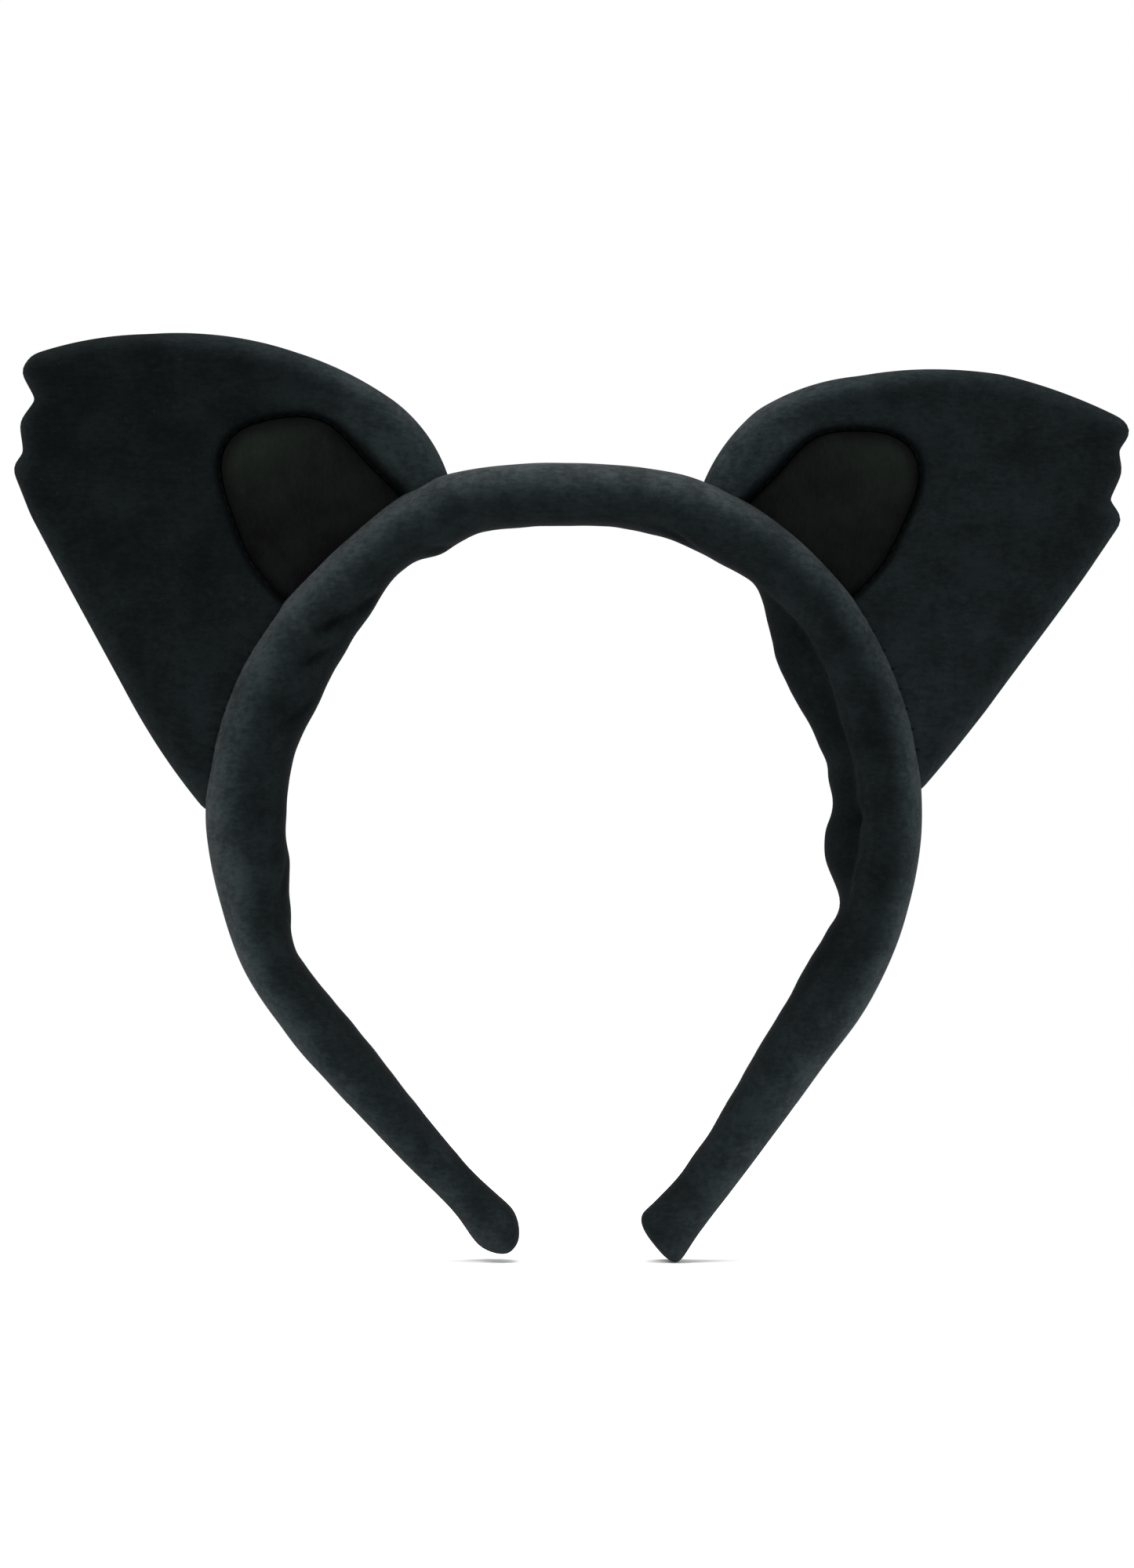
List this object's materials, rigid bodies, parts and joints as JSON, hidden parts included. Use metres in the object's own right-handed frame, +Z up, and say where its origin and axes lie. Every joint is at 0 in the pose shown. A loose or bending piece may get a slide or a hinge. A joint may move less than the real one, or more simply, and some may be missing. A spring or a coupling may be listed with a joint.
{
  "type": "animal ears headband",
  "caption": "Padded velour headband with two large stuffed animal ears and a sprung core that grips the head.",
  "frame": {"origin": "centre of the hoop's round inner face, which is the head seat, midway front to back", "axes": "+Z up as worn, front faces -Y, +X to the viewer's right seen from the front; left nodes are on -X"},
  "size_m": [0.241, 0.0204, 0.2006],
  "materials": {
    "velour": "matte",
    "smooth_felt": "matte",
    "foam": "matte",
    "spring_plastic": "satin",
    "thread": "matte"
  },
  "bodies": {
    "crown": {"sleeve_crown": "velour", "padding_crown": "foam", "core_crown": "spring_plastic", "seam_stitches_crown": "thread"},
    "left_side": {"sleeve_left": "velour", "padding_left": "foam", "core_left": "spring_plastic", "seam_stitches_left": "thread", "tip_cap_left": "velour", "tip_stitches_left": "thread", "ear_front_panel_left": "velour", "ear_back_panel_left": "velour", "ear_foam_left": "foam", "ear_patch_left": "smooth_felt", "ear_patch_stitches_left": "thread", "ear_base_stitches_left": "thread"},
    "right_side": {"sleeve_right": "velour", "padding_right": "foam", "core_right": "spring_plastic", "seam_stitches_right": "thread", "tip_cap_right": "velour", "tip_stitches_right": "thread", "ear_front_panel_right": "velour", "ear_back_panel_right": "velour", "ear_foam_right": "foam", "ear_patch_right": "smooth_felt", "ear_patch_stitches_right": "thread", "ear_base_stitches_right": "thread"}
  },
  "joints": [
    {"name": "left_arm_flex", "type": "hinge", "parent": "crown", "child": "left_side", "pos_m": [-0.01601, 0, 0.07312], "axis": [0, 1, 0], "range_deg": [-4, 13], "stiffness_Nm_per_rad": 2},
    {"name": "right_arm_flex", "type": "hinge", "parent": "crown", "child": "right_side", "pos_m": [0.01601, 0, 0.07312], "axis": [0, -1, 0], "range_deg": [-4, 13], "stiffness_Nm_per_rad": 2}
  ]
}
